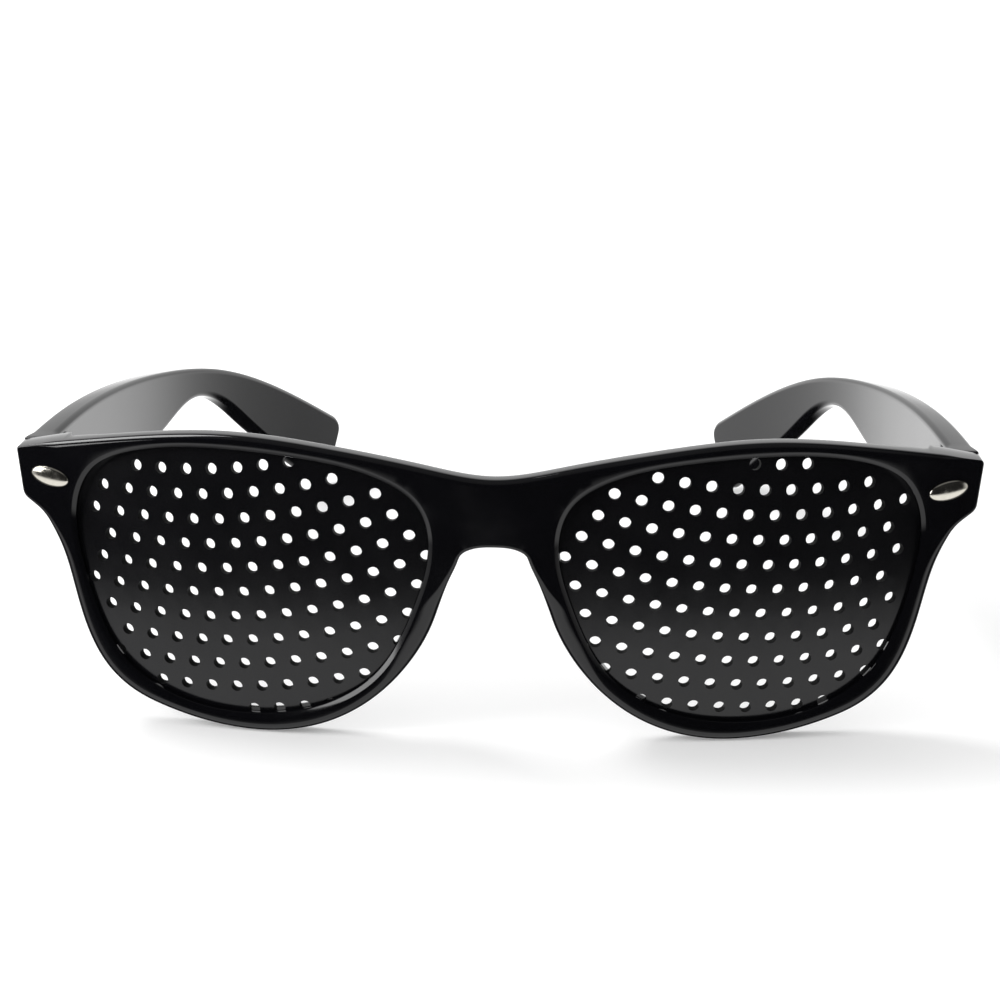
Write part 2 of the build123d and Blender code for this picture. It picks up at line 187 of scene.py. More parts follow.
def bump(tree, height, millimetres, under=()):
    """A bump of so many millimetres, on top of an earlier one if that is given."""
    return node(tree, "ShaderNodeBump", {"Height": height, **dict(under)},
                values={"Strength": 1.0, "Distance": millimetres / 1000}).outputs["Normal"]


def finish_material(tree, shader, cells, spread, colour, rough, normal):
    """Colour and roughness follow a noise, whose values mostly lie in the range of spread."""
    tone = node(tree, "ShaderNodeMix", {"Factor": cells}, {"data_type": "RGBA"})
    tone.inputs["A"].default_value = linear(colour[0])
    tone.inputs["B"].default_value = linear(colour[1])
    level = node(tree, "ShaderNodeMapRange", {"Value": cells},
                 values={"From Min": spread[0], "From Max": spread[1],
                         "To Min": rough[0], "To Max": rough[1]})
    tree.links.new(tone.outputs["Result"], shader.inputs["Base Color"])
    tree.links.new(level.outputs["Result"], shader.inputs["Roughness"])
    tree.links.new(normal, shader.inputs["Normal"])


print("mid grey", [round(c, 3) for c in linear("#808080")[:3]])

# %% [markdown]
# ## Gloss black moulding
# The front and the temples are injection moulded in a black thermoplastic and tumbled until
# they shine. Up close such a surface is not a mirror: there is a long, shallow orange peel
# from the mould, and fine hairlines from handling. Both go in as bump and roughness, with
# their scales worked out from millimetres. The black itself is nearly flat in the real part.
# The same function gives the plates and the walls of their holes, from rougher numbers.

# %% Material of the front and temples
def gloss_black(name, colour, rough, peel_mm, peel_height, hair_height, shine=0.5):
    """A black plastic. Heights are in millimetres, and shine is 0.5 for a clean surface."""
    made, tree, shader = new_material(name)
    shader.inputs["IOR"].default_value = 1.5
    shader.inputs["Specular IOR Level"].default_value = shine
    place = node(tree, "ShaderNodeTexCoord").outputs["Object"]
    peel = noise(tree, place, 1000 / peel_mm, 2.0, 0.45)
    # hairlines 3 mm long and 0.11 mm wide, twice the real width, so that they show
    lines = node(tree, "ShaderNodeMapping", {"Vector": place},
                 values={"Rotation": (0.3, 0.5, 0.2), "Scale": (9000, 9000, 330)})
    hair = noise(tree, lines.outputs["Vector"], 1.0, 3.0, 0.6)
    # worn and fresh patches about 9 mm across
    wear = noise(tree, place, 1000 / 9.0, 4.0, 0.6)
    rippled = bump(tree, peel, peel_height)
    scratched = bump(tree, hair, hair_height, {"Normal": rippled})
    finish_material(tree, shader, wear, (0.35, 0.7), colour, rough, scratched)
    return made


# polished polycarbonate: a deep black with clear, slightly rippled reflections
black_moulding = gloss_black("gloss_black_polycarbonate", ("#070709", "#0b0b0e"),
                             (0.05, 0.13), 2.5, 0.0022, 0.00012)
# moulded acrylic plate: a hair lighter, and its reflections are soft
black_plate = gloss_black("black_acrylic_plate", ("#09090b", "#0e0e11"),
                          (0.17, 0.24), 3.0, 0.0025, 0.00012)
# the wall of a drilled hole: scraped and matt, so it stays dark at every angle
drilled_wall = gloss_black("drilled_acrylic_wall", ("#0a0a0b", "#0f0f10"),
                           (0.6, 0.75), 0.4, 0.004, 0.0004, shine=0.12)
print("made", black_moulding.name, black_plate.name, drilled_wall.name)

# %% [markdown]
# ## Metals
# The studs are brass, stamped and plated bright. The hinges are nickel silver, tumbled rather
# than polished, so they are duller and a little yellow. The screws are turned steel. A metal
# takes its colour from its reflection, so it needs full metallic and a bright base colour.

# %% Materials of the studs, hinges and screws
def metal(name, colour, rough, grain_mm, grain_height, stretch=(1, 1, 1)):
    """A metal with a grain of grain_mm, finer along the axes where stretch is large."""
    made, tree, shader = new_material(name)
    shader.inputs["Metallic"].default_value = 1.0
    place = node(tree, "ShaderNodeTexCoord").outputs["Object"]
    cells = node(tree, "ShaderNodeMapping", {"Vector": place},
                 values={"Scale": [1000 / grain_mm * s for s in stretch]})
    grain = noise(tree, cells.outputs["Vector"], 1.0, 3.0)
    finish_material(tree, shader, grain, (0.3, 0.7), colour, rough,
                    bump(tree, grain, grain_height))
    return made


# bright plating on stamped brass: warm white, with highlights that blur at the edge
plated_brass = metal("bright_plated_brass", ("#d9d4c8", "#f1ede2"), (0.12, 0.24), 0.8, 0.003)
# tumbled nickel silver: yellowish grey, and no clear reflection
nickel_silver = metal("tumbled_nickel_silver", ("#a9a59a", "#c6c1b4"), (0.25, 0.4), 0.25, 0.004)
# turned steel: cold grey, with fine rings round the upright axis of the screw
turned_steel = metal("turned_steel", ("#9b9c9e", "#bdbebf"), (0.2, 0.34), 0.15, 0.003, (1, 1, 6))
print("made", plated_brass.name, nickel_silver.name, turned_steel.name)

# %% [markdown]
# ## Smooth curves
# An outline is given by a few points. A cubic spline passes through all of them and bends as
# little as it can, as a draughtsman's lath does, so it gives the same line as the CAD's own
# spline. It is worked out here with numpy, because the rings of a moulded edge need the
# points themselves.

# %% A spline through points
def smooth(points, start=None, end=None, step=0.6):
    """Points every step millimetres on a cubic spline, with the directions of its ends if given."""
    p = np.array(points, float)
    h = np.linalg.norm(np.diff(p, axis=0), axis=1)
    t = np.concatenate([[0], np.cumsum(h)])
    last = len(p) - 1
    matrix, right = np.eye(last + 1), np.zeros((last + 1, 2))
    for i in range(1, last):
        matrix[i, i - 1:i + 2] = h[i - 1], 2 * (h[i - 1] + h[i]), h[i]
        right[i] = 6 * ((p[i + 1] - p[i]) / h[i] - (p[i] - p[i - 1]) / h[i - 1])
    if start is not None:
        matrix[0, :2] = 2 * h[0], h[0]
        right[0] = 6 * ((p[1] - p[0]) / h[0] - np.array(start) / np.linalg.norm(start))
    if end is not None:
        matrix[last, last - 1:] = h[-1], 2 * h[-1]
        right[last] = 6 * (np.array(end) / np.linalg.norm(end) - (p[-1] - p[-2]) / h[-1])
    bend = np.linalg.solve(matrix, right)
    at = np.linspace(0, t[-1], max(2, ceil(t[-1] / step) + 1))
    i = np.clip(np.searchsorted(t, at, side="right") - 1, 0, last - 1)
    a, b, w = (t[i + 1] - at)[:, None], (at - t[i])[:, None], h[i][:, None]
    return ((bend[i] * a**3 + bend[i + 1] * b**3) / (6 * w)
            + (p[i] / w - bend[i] * w / 6) * a + (p[i + 1] / w - bend[i + 1] * w / 6) * b)


def closed(points, step=0.6):
    """A closed spline: the points are repeated past both ends, and the middle is kept."""
    p = [tuple(q) for q in points]
    long = smooth(p[-4:] + p + p[:5], step=step)
    half = len(long) // 2
    from_start = np.linalg.norm(long - np.array(p[0]), axis=1)
    return long[int(np.argmin(from_start[:half])):half + int(np.argmin(from_start[half:]))]


def soften(curves, legs, arc_points=7):
    """Joins curves end to end, with each corner between two of them rounded from its legs in."""
    joined = curves[0]
    for curve, leg in zip(curves[1:], legs):
        corner = curve[0]
        before = joined[np.linalg.norm(joined - corner, axis=1) > leg]
        after = curve[np.linalg.norm(curve - corner, axis=1) > leg]
        into = (before[-1] - corner) / np.linalg.norm(before[-1] - corner)
        out = (after[0] - corner) / np.linalg.norm(after[0] - corner)
        a, b = corner + into * leg * 0.95, corner + out * leg * 0.95
        t = np.linspace(0, 1, arc_points)[:, None]
        joined = np.vstack([before, (1 - t)**2 * a + 2 * t * (1 - t) * corner + t**2 * b, after])
    return joined


def on_front(shares):
    """Shares of the front's half width and height as millimetres across and up."""
    return [(half_width * x, front_height * z) for x, z in shares]


half_outline = soften(
    [smooth(on_front(brow_shares), (1, 0), (1, -0.18)),
     smooth(on_front(end_piece_shares[:2])),
     smooth(on_front(end_piece_shares[1:])),
     smooth(on_front(cheek_shares), (-0.55, -1), (-1, 0)),
     smooth(on_front(nose_shares), (-1, 0), (-0.3, 1)),
     smooth(on_front(arch_shares), (-0.3, 1), (-1, 0))],
    [0.7, 0.9, 1.6, 0.4, 0.4])
mirrored = half_outline[::-1][1:-1] * (-1, 1)
outline = np.vstack([half_outline, mirrored])
lens_half = np.array([lens_width / 2, lens_height / 2])
lens_loop = closed(lens_shares * lens_half) / lens_half
opening = (lens_x, lens_z) + lens_loop * lens_half
print("outline points", len(outline), "opening points", len(opening))

# %% [markdown]
# ## A moulded sheet
# The front and the temples are both sheets with rounded edges: an outline, a face on each
# side, and a rim that rolls from one face to the other. The rim is a ladder of rings, each
# set in from the outline and down from a face. The faces are filled with triangles between
# the rings, with a grid of points inside so that they can bend with the bow of the front.
# The same function makes both pieces, given how a flat point is placed in space.

# %% Rings and fillings
def inward(loop, hole=False):
    """Unit normals of a closed loop, pointing into the sheet."""
    along = np.roll(loop, -1, axis=0) - np.roll(loop, 1, axis=0)
    side = np.stack([-along[:, 1], along[:, 0]], axis=1)
    side /= np.linalg.norm(side, axis=1)[:, None]
    nxt = np.roll(loop, -1, axis=0)
    area = np.sum(loop[:, 0] * nxt[:, 1] - nxt[:, 0] * loop[:, 1])
    return side if (area > 0) != hole else -side


def inside(points, loops):
    """Which points lie in the sheet: an odd number of loop edges to their right."""
    odd = np.zeros(len(points), bool)
    for loop in loops:
        a, b = loop, np.roll(loop, -1, axis=0)
        x, y = points[:, 0][:, None], points[:, 1][:, None]
        crosses = (a[:, 1] > y) != (b[:, 1] > y)
        at = a[:, 0] + (y - a[:, 1]) * (b[:, 0] - a[:, 0]) / (b[:, 1] - a[:, 1] + 1e-12)
        odd ^= (np.sum(crosses & (x < at), axis=1) % 2).astype(bool)
    return odd


def fill(loops, step, more=()):
    """Triangles between loops, with a grid of points that is finer in the patches of more."""
    edge = np.vstack(loops)
    low, high = edge.min(0), edge.max(0)
    xs, ys = np.arange(low[0], high[0], step), np.arange(low[1], high[1], step * 0.87)
    grid = np.array([(x + step / 2 * (j % 2), y) for j, y in enumerate(ys) for x in xs])
    for patch, fine in more:
        near = np.all((grid > patch[0]) & (grid < patch[1]), axis=1)
        px = np.arange(patch[0][0], patch[1][0], fine)
        py = np.arange(patch[0][1], patch[1][1], fine)
        grid = np.vstack([grid[~near], np.array([(x, y) for y in py for x in px])])
    grid = grid[inside(grid, loops)]
    # no inner point nearer to an edge than about half a step, so that no triangle is a sliver
    space = np.full(len(grid), step * 0.55)
    for patch, fine in more:
        space[np.all((grid > patch[0]) & (grid < patch[1]), axis=1)] = fine * 0.55
    gap = np.array([np.min(np.linalg.norm(edge - g, axis=1)) for g in grid])
    grid = grid[gap > space]
    links, start = [], 0
    for loop in loops:
        links += [(start + i, start + (i + 1) % len(loop)) for i in range(len(loop))]
        start += len(loop)
    points = np.vstack([edge, grid])
    found = delaunay_2d_cdt([Vector(p) for p in points], links, [], 0, 1e-7)
    crossed = [tuple(round(c, 2) for c in found[0][i]) for i, o in enumerate(found[3]) if not o]
    assert not crossed, f"the loops cross at {crossed}"
    first = [o[0] for o in found[3]]
    triangles = np.array([[first[v] for v in f] for f in found[2]])
    keep = inside(points[triangles].mean(axis=1), loops)
    return grid, triangles[keep]


def moulded_sheet(name, loops, place, step, more=()):
    """A closed mesh. Each loop has its points, its normals and its rings, from front to back."""
    points, faces, ring_starts = [], [], []
    for loop in loops:
        starts = []
        for inset, side, depth in loop["rings"]:
            starts.append(len(points))
            flat = loop["points"] + loop["normals"] * np.reshape(inset, (-1, 1))
            points += [place(p[0], p[1], side, d)
                       for p, d in zip(flat, np.broadcast_to(depth, len(flat)))]
        count = len(loop["points"])
        for a, b in zip(starts, starts[1:]):
            faces += [(a + i, a + (i + 1) % count, b + (i + 1) % count, b + i)
                      for i in range(count)]
        ring_starts.append(starts)
    for end, side in ((0, "front"), (-1, "back")):
        flats, lookup = [], []
        for loop, starts in zip(loops, ring_starts):
            inset, _, _ = loop["rings"][end]
            flats.append(loop["points"] + loop["normals"] * np.reshape(inset, (-1, 1)))
            lookup += [starts[end] + i for i in range(len(loop["points"]))]
        grid, triangles = fill(flats, step, more if side == "back" else ())
        lookup += [len(points) + i for i in range(len(grid))]
        points += [place(g[0], g[1], side, 0.0) for g in grid]
        faces += [tuple(lookup[v] for v in t) for t in triangles]
    mesh = bpy.data.meshes.new(name)
    mesh.from_pydata([tuple(c / 1000 for c in p) for p in points], [], faces)
    return finish_mesh(mesh, name)


def finish_mesh(mesh, name, sharp=35.0):
    """Outward normals, smooth faces, crisp edges past an angle, and an object for it."""
    work = bmesh.new()
    work.from_mesh(mesh)
    bmesh.ops.recalc_face_normals(work, faces=work.faces)
    open_edges = sum(1 for e in work.edges if not e.is_manifold)
    work.to_mesh(mesh)
    work.free()
    mesh.shade_smooth()
    mesh.set_sharp_from_angle(angle=radians(sharp))
    piece = bpy.data.objects.new(name, mesh)
    bpy.context.scene.collection.objects.link(piece)
    print(name, "faces", len(mesh.polygons), "open edges", open_edges)
    return piece


def roll(width, height, side, steps=6, flat=0.05):
    """Rings of a rounded edge: in from the outline by width, down from the face by height.

    One more ring, flat millimetres further in, lies on the face. It keeps the shading of the
    edge from spreading over the wide triangles of the face as a pale halo.
    """
    angles = [pi / 2 * i / steps for i in range(steps + 1)]
    rings = [(width + flat, side, 0.0)]
    rings += [(width * (1 - sin(a)), side, height * (1 - cos(a))) for a in angles]
    return rings if side == "front" else rings[::-1]


print("a rolled edge", roll(1.0, 1.0, "front", 2))

# %% [markdown]
# ## The front
# The real front is one moulding: two rims, a bridge, nose pads and a block behind each end
# for the hinge. Its edges are not all alike. The brow is crisp, the lower rims are rolled
# wide, and beside the nose the roll widens into a crescent. So the width of the roll changes
# along the outline. Blocks and pads are added as a height of the back face, which keeps the
# whole piece one closed skin with no joins to show.

# %% Shapes of the faces of the front
bridge_half, bridge_blend, bridge_low_z, bridge_spread = 4.6, 1.0, 30.4, 0.14
bridge_middle_z, bridge_set_back, bridge_lean = 35.5, 0.12, 0.016
block_x, block_low_z, block_climb_x, block_climb = 64.5, 33.8, 67.4, 0.2
# a nose pad: height, half of its width and of its thickness, and how far back its middle is
pad_places = [(6.5, 0.3, 0.6, 3.4), (11.5, 1.3, 2.0, 4.6), (19.5, 2.0, 3.4, 5.4),
              (27.0, 1.1, 1.6, 3.6), (30.5, 0.3, 0.5, 3.0)]
pad_heights, *pad_columns = zip(*pad_places)
pad_from_edge, pad_overlap, pad_fillet, pad_reach = 0.35, 0.15, 0.5, 25.0
nose_curve = smooth(on_front(nose_shares), (-1, 0), (-0.3, 1), step=0.3)


def ramp(value, low, high):
    """A soft step from 0 to 1, while value goes from low to high."""
    t = np.clip((np.asarray(value, float) - low) / (high - low), 0, 1)
    return t * t * (3 - 2 * t)


def bow(x, radius=bow_radius):
    """How far the bowed face lies behind the bridge."""
    return bow_radius - sqrt(radius**2 - x * x)


def face_depth(x, z):
    """The front face: the bow, and the bridge set back a hair, leaning over a little."""
    edge = bridge_half + (z - bridge_low_z) * bridge_spread
    bridge = float(1 - ramp(abs(x), edge, edge + bridge_blend))
    return bow(x) + bridge * (bridge_set_back - bridge_lean * (z - bridge_middle_z))


def pad_depth(x, z):
    """The back of a nose pad: an ellipse across, whose size changes with height."""
    if not pad_heights[0] < z < pad_heights[-1]:
        return 0.0
    half_x, half_y, depth = (float(np.interp(z, pad_heights, c)) for c in pad_columns)
    edge = float(np.interp(z, nose_curve[:, 1], nose_curve[:, 0]))
    off = (abs(x) - edge - pad_from_edge - half_x) / (half_x + pad_overlap)
    return depth + half_y * sqrt(1 - off * off) if abs(off) < 1 else 0.0


def back_depth(x, z):
    """The back face: the bow again, the hinge blocks and the nose pads."""
    shell = bow(x, bow_radius - front_thickness)
    low_edge = block_low_z + max(0.0, abs(x) - block_climb_x) * block_climb
    block = float(ramp(abs(x), block_x, block_x + 0.35)
                  * ramp(z, low_edge - 0.1, low_edge + 0.25))
    rounded = shell
    if abs(x) < pad_reach:
        pad = pad_depth(x, z)
        rounded = (shell + pad + sqrt((shell - pad)**2 + pad_fillet**2)) / 2
    return rounded + (butt_depth - rounded) * block


def place_front(x, z, side, depth):
    """A flat point of the front in space, some depth under one of its faces."""
    if side == "front":
        return (x, front_y + face_depth(x, z) + depth, z)
    return (x, front_y + back_depth(x, z) - depth, z)


print("pad reaches back", round(back_depth(12.0, 19.5), 2), "mm")

# %% The rims of the front
def lens_depth(x, z):
    """How far the middle of a plate lies behind the bridge: it is part of a ball."""
    return ball_y - sqrt(lens_radius**2 - (abs(x) - ball_x)**2 - (z - lens_z)**2)


lens_turn = asin(lens_x / bow_radius)
vertex_back = front_thickness / 2 - lens_bulge
ball_x = lens_x - vertex_back * sin(lens_turn) - lens_radius * sin(lens_turn)
ball_y = bow(lens_x) + vertex_back * cos(lens_turn) + lens_radius * cos(lens_turn)

# where each kind of edge lies, as a share for every point of the outline
x, z = np.abs(outline[:, 0]), outline[:, 1]
low, aside = 1 - ramp(z, 24, 36), ramp(x, 7.0, 8.5)
lower_rim, under_bridge = low * aside, low * (1 - aside)
crescent = ramp(z, 7, 15) * (1 - ramp(z, 19, 27)) * (1 - ramp(x, 14, 20))
along_brow = ramp(z, 37, 39) * (1 - ramp(x, 66, 70))
crisp = 0.28
width = crisp + 1.0 * lower_rim + 1.2 * crescent + 0.35 * under_bridge + 0.7 * along_brow
height = crisp + 1.0 * lower_rim + 0.3 * crescent + 0.35 * under_bridge + 1.1 * along_brow
back_width = 0.7 - 0.48 * ramp(x, 58, 63)    # crisper where the hinge blocks are
rings = roll(width, height, "front", 8) + roll(back_width, back_width, "back", 5)
loops = [{"points": outline, "normals": inward(outline), "rings": rings}]

# the bevel round an opening, from the face inwards, with both of its corners softened
lip = [(0.75, "front", 0.0), (0.68, "front", 0.01), (0.61, "front", 0.05),
       (0.09, "front", 0.41), (0.03, "front", 0.46), (0.0, "front", 0.54)]
half_groove, groove_reach = tongue_thickness / 2 + groove_clearance, lens_seat + 0.05
for side in (1, -1):
    loop = opening * (side, 1)
    plate = np.array([lens_depth(px, pz) - face_depth(px, pz) for px, pz in loop])
    near, far = plate - half_groove, plate + half_groove
    groove = [(0.0, "front", near), (groove_reach, "front", near),
              (groove_reach, "front", far), (0.0, "front", far)]
    loops.append({"points": loop, "normals": inward(loop, hole=True),
                  "rings": lip + groove + roll(0.3, 0.3, "back", 4)})

# a finer grid where the back face turns steep: at the hinge blocks and over the nose pads
fine_places, fine_step = [((64.2, 33.0), (65.2, 41.5)), ((7.0, 6.0), (17.0, 31.0))], 0.45
more = []
for (near_x, low_z), (far_x, high_z) in fine_places:
    more.append((np.array([(near_x, low_z), (far_x, high_z)]), fine_step))
    more.append((np.array([(-far_x, low_z), (-near_x, high_z)]), fine_step))
front = moulded_sheet("moulded_front", loops, place_front, 1.4, more)
front.data.materials.append(black_moulding)
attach(front, "front")
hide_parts("front_frame")

# %% [markdown]
# ## The temples
# Seen from the side a temple is a flat bar that widens into a tip behind the ear. Seen from
# above it curves in towards the head. So it is the same moulded sheet, standing on edge: its
# outline is drawn from the side, and the curve seen from above says where its faces lie.

# %% Temples
plan = smooth([(overall_depth * y, half_width * x) for y, x in temple_plan_shares], step=0.5)


def temple_faces(y):
    """Half width of the outer and the inner face, at a distance behind the bridge."""
    outer = float(np.interp(y, plan[:, 0], plan[:, 1]))
    run = (y - plan[0, 0]) / (plan[-1, 0] - plan[0, 0])
    return outer, outer - temple_thickness + (temple_thickness - temple_tip_thickness) * run


inner_face_x = temple_faces(plan[0, 0])[1]
top = smooth([(overall_depth * y, front_height * z) for y, z in temple_top_shares])
low = smooth([(overall_depth * y, front_height * z) for y, z in temple_low_shares])
tip_drop = 2.4              # how far the last corner lies below the end of the top edge
tip = np.array((overall_depth, top[-1][1] - tip_drop))


def straight(a, b, step=0.6):
    """Points every step millimetres on a straight line."""
    return np.linspace(a, b, max(2, ceil(np.linalg.norm(np.array(b) - a) / step) + 1))


joint_y = butt_depth + joint_gap
top = np.vstack([[(joint_y, top[0][1])], top[top[:, 0] > joint_y + 0.3]])
low = np.vstack([low[low[:, 0] > joint_y + 0.3], [(joint_y, low[-1][1])]])
side_view = soften([straight(low[-1], top[0])[:-1], top, straight(top[-1], tip),
                    straight(tip, low[0]), low], [0.5, 1.1, 2.2, 3.0])
apart = np.linalg.norm(side_view - np.roll(side_view, 1, axis=0), axis=1) > 0.02
side_view = side_view[apart]
# the long edges are rounded, and the edges of the end that meets the hinge block stay crisp
at_hinge = 1 - ramp(side_view[:, 0], joint_y + 0.5, joint_y + 4)
temple_roll = 0.95 - 0.7 * at_hinge
temple_rings = roll(temple_roll, temple_roll, "front") + roll(temple_roll, temple_roll, "back")
temple_loops = [{"points": side_view, "normals": inward(side_view), "rings": temple_rings}]
# the pocket that takes the hinge leaf, and a finer grid round it
pocket_back = butt_depth + leaf_from_pin + leaf_length + pocket_clearance
pocket_low, pocket_high, pocket_end = (35.1, 35.3), (41.5, 41.7), (pocket_back - 0.1, pocket_back)
round_pocket = [(np.array([(14.8, 34.0), (23.0, 42.2)]), 0.5)]

for side, name in ((1, "right"), (-1, "left")):
    def place_temple(y, z, face, depth):
        outer, inner = temple_faces(y)
        if face == "front":
            return (side * (outer - depth), front_y + y, z)
        pocket = float((1 - ramp(y, *pocket_end)) * ramp(z, *pocket_low)
                       * (1 - ramp(z, *pocket_high)))
        return (side * (inner + max(0.0, inner_face_x - inner) * pocket + depth), front_y + y, z)

    temple = moulded_sheet(f"moulded_temple_{name}", temple_loops, place_temple, 1.6,
                           round_pocket)
    temple.data.materials.append(black_moulding)
    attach(temple, f"{name}_temple")
    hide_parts(f"temple_{name}")

# %% [markdown]
# ## The pinhole plates
# This is the part that the glasses are for. Each plate is a shallow dish with 118 holes in
# staggered rows, and the rows sag like a hanging chain because the flat pattern was drawn on
# a dish. It could be cut with booleans, but a pattern that follows a rule is Geometry Nodes
# work: a point for each row is copied along the row, moved by the rule, and given a circle;
# all circles and the outline are filled as one flat face; and the face is wrapped on a ball
# and thickened. The first and last hole of each row were counted in the photograph.

# %% The node tree of a plate
def plate_tree():
    """The node group that turns an outline and one point for each row into a plate."""
    tree = bpy.data.node_groups.new("pinhole_plate", "GeometryNodeTree")
    face = tree.interface
    face.new_socket("Geometry", in_out="INPUT", socket_type="NodeSocketGeometry")
    for label in ("Pitch", "Row pitch", "Stagger", "Bow radius", "Apex step", "Start u", "Start v",
                  "Turn", "Side", "Hole radius", "Ball radius", "Front radius", "Back radius"):
        face.new_socket(label, in_out="INPUT", socket_type="NodeSocketFloat")
    face.new_socket("Material", in_out="INPUT", socket_type="NodeSocketMaterial")
    face.new_socket("Wall material", in_out="INPUT", socket_type="NodeSocketMaterial")
    face.new_socket("Geometry", in_out="OUTPUT", socket_type="NodeSocketGeometry")
    given = node(tree, "NodeGroupInput").outputs

    def sum_up(*terms):
        return maths(tree, *terms)

    def named(label, kind="FLOAT"):
        return node(tree, "GeometryNodeInputNamedAttribute", settings={"data_type": kind},
                    values={"Name": label}).outputs["Attribute"]

    def geometry(kind, links, settings=(), values=(), out="Geometry"):
        return node(tree, kind, links, settings, values).outputs[out]

    def joined(*pieces):
        made = node(tree, "GeometryNodeJoinGeometry")
        for piece in pieces:
            tree.links.new(piece, made.inputs["Geometry"])
        return made.outputs["Geometry"]

    # rows are loose points, the outline is a loop of edges
    parts = node(tree, "GeometryNodeSeparateGeometry", {"Geometry": given["Geometry"],
                                                        "Selection": named("is_row", "BOOLEAN")},
                 {"domain": "POINT"})
    copies = node(tree, "GeometryNodeDuplicateElements",
                  {"Geometry": parts.outputs["Selection"], "Amount": named("holes", "INT")},
                  {"domain": "POINT"})
    row = named("row")
    place = sum_up("ADD", named("first"), copies.outputs["Duplicate Index"])
    along = sum_up("ADD", sum_up("MULTIPLY", place, given["Pitch"]),
                   sum_up("MULTIPLY", row, given["Stagger"]))
    from_apex = sum_up("ADD", along, sum_up("MULTIPLY", row, given["Apex step"]))
    sag = sum_up("DIVIDE", sum_up("MULTIPLY", from_apex, from_apex),
                 sum_up("MULTIPLY", given["Bow radius"], 2.0))
    across = sum_up("SUBTRACT", sag, sum_up("MULTIPLY", row, given["Row pitch"]))
    cosine, sine = sum_up("COSINE", given["Turn"]), sum_up("SINE", given["Turn"])
    u = sum_up("ADD", given["Start u"], sum_up("SUBTRACT", sum_up("MULTIPLY", along, cosine),
                                               sum_up("MULTIPLY", across, sine)))
    v = sum_up("ADD", given["Start v"], sum_up("ADD", sum_up("MULTIPLY", along, sine),
                                               sum_up("MULTIPLY", across, cosine)))
    spot = node(tree, "ShaderNodeCombineXYZ", {"X": sum_up("MULTIPLY", u, given["Side"]), "Y": v})
    spread = geometry("GeometryNodeSetPosition", {"Geometry": copies.outputs["Geometry"],
                                                  "Position": spot.outputs["Vector"]})
    ring = geometry("GeometryNodeCurvePrimitiveCircle", {"Radius": given["Hole radius"]},
                    values={"Resolution": 28}, out="Curve")
    rings = geometry("GeometryNodeInstanceOnPoints", {"Points": spread, "Instance": ring},
                     out="Instances")
    rings = geometry("GeometryNodeRealizeInstances", {"Geometry": rings})
    edge = geometry("GeometryNodeMeshToCurve", {"Mesh": parts.outputs["Inverted"]}, out="Curve")
    flat = geometry("GeometryNodeFillCurve", {"Curve": joined(edge, rings)}, out="Mesh")
    fine = geometry("GeometryNodeSubdivideMesh", {"Mesh": flat}, values={"Level": 1}, out="Mesh")

    # wrap on the ball: the flat face becomes the back, and its extrusion the front
    here = node(tree, "GeometryNodeInputPosition").outputs["Position"]
    apart = node(tree, "ShaderNodeSeparateXYZ", {"Vector": here}).outputs
    square = sum_up("ADD", sum_up("MULTIPLY", apart["X"], apart["X"]),
                    sum_up("MULTIPLY", apart["Y"], apart["Y"]))
    whole = sum_up("MULTIPLY", given["Ball radius"], given["Ball radius"])
    height = sum_up("SQRT", sum_up("SUBTRACT", whole, square))
    on_ball = node(tree, "ShaderNodeCombineXYZ", {"X": apart["X"], "Y": apart["Y"], "Z": height})

    def at_radius(vector, radius):
        out = node(tree, "ShaderNodeVectorMath", {0: vector}, {"operation": "NORMALIZE"})
        return node(tree, "ShaderNodeVectorMath", {0: out.outputs["Vector"], "Scale": radius},
                    {"operation": "SCALE"}).outputs["Vector"]

    back = geometry("GeometryNodeSetPosition",
                    {"Geometry": fine,
                     "Position": at_radius(on_ball.outputs["Vector"], given["Back radius"])})
    raised = node(tree, "GeometryNodeExtrudeMesh", {"Mesh": back},
                  values={"Offset Scale": 0.0, "Individual": False})
    front = geometry("GeometryNodeSetPosition",
                     {"Geometry": raised.outputs["Mesh"], "Selection": raised.outputs["Top"],
                      "Position": at_radius(here, given["Front radius"])})
    faces = geometry("GeometryNodeSetMaterial", {"Geometry": front,
                                                 "Material": given["Material"]})
    walls = geometry("GeometryNodeSetMaterial", {"Geometry": faces,
                                                 "Selection": raised.outputs["Side"],
                                                 "Material": given["Wall material"]})
    under = geometry("GeometryNodeFlipFaces", {"Mesh": back}, out="Mesh")
    under = geometry("GeometryNodeSetMaterial", {"Geometry": under,
                                                 "Material": given["Material"]})
    welded = geometry("GeometryNodeMergeByDistance", {"Geometry": joined(walls, under)},
                      values={"Distance": 0.000001})
    node(tree, "NodeGroupOutput", {"Geometry": welded})
    return tree


pinholes = plate_tree()
print("plate tree nodes", len(pinholes.nodes))

# %% The two plates
# for each plate: its side, where the middle of the pattern lies and how far it is turned, and
# the first and last hole of every row
patterns = {
    "right": (1, (2.58, 7.94, -2.6), {-3: (1, 3), -2: (-3, 5), -1: (-5, 6), 0: (-6, 5), 1: (-7, 5),
                                      2: (-8, 4), 3: (-8, 4), 4: (-8, 3), 5: (-8, 3), 6: (-8, 2),
                                      7: (-7, 0)}),
    "left": (-1, (4.64, 9.74, -4.8), {-2: (-2, 4), -1: (-4, 5), 0: (-6, 5), 1: (-7, 4), 2: (-8, 4),
                                      3: (-9, 4), 4: (-9, 3), 5: (-9, 2), 6: (-9, 2), 7: (-8, 0),
                                      8: (-7, -4)}),
}


def grown(outset):
    """The outline of a plate, as distances across and up its own middle plane."""
    spots = (lens_x, lens_z) + lens_loop * (lens_half + outset)
    return [((x - ball_x) * cos(lens_turn) + (lens_depth(x, z) - ball_y) * sin(lens_turn),
             z - lens_z) for x, z in spots]


